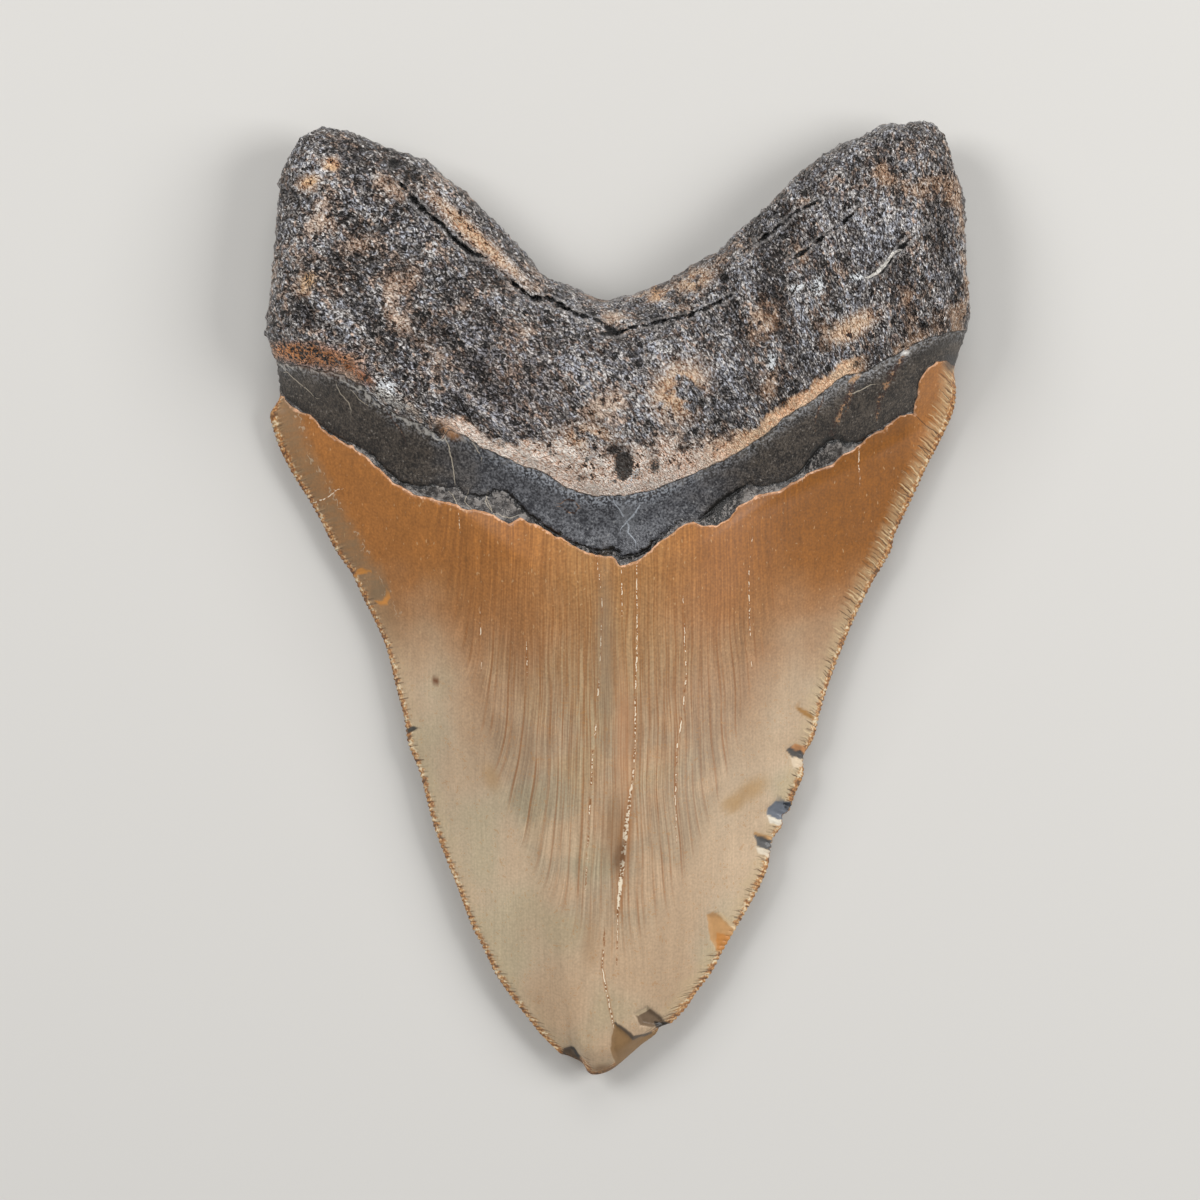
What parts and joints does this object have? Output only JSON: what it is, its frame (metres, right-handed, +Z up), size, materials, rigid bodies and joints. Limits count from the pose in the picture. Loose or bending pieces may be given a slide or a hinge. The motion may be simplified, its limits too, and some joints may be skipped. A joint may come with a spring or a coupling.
{
  "type": "megalodon tooth",
  "caption": "Large fossil shark tooth lying on its flat face: triangular serrated crown, dark band at the neck and a thick two-lobed root.",
  "frame": {"origin": "middle of the bounding box in X and Y, on the plane that the tooth rests on", "axes": "+Y from the tip towards the root lobes, +X across the tooth, +Z up from the flat labial face to the bulging lingual face"},
  "size_m": [0.1042, 0.1406, 0.0272],
  "materials": {
    "fossil": "fossil enamel, satin golden brown to grey beige, under a rough charcoal brown root"
  },
  "bodies": {
    "root": {"tooth": "fossil"}
  },
  "joints": []
}
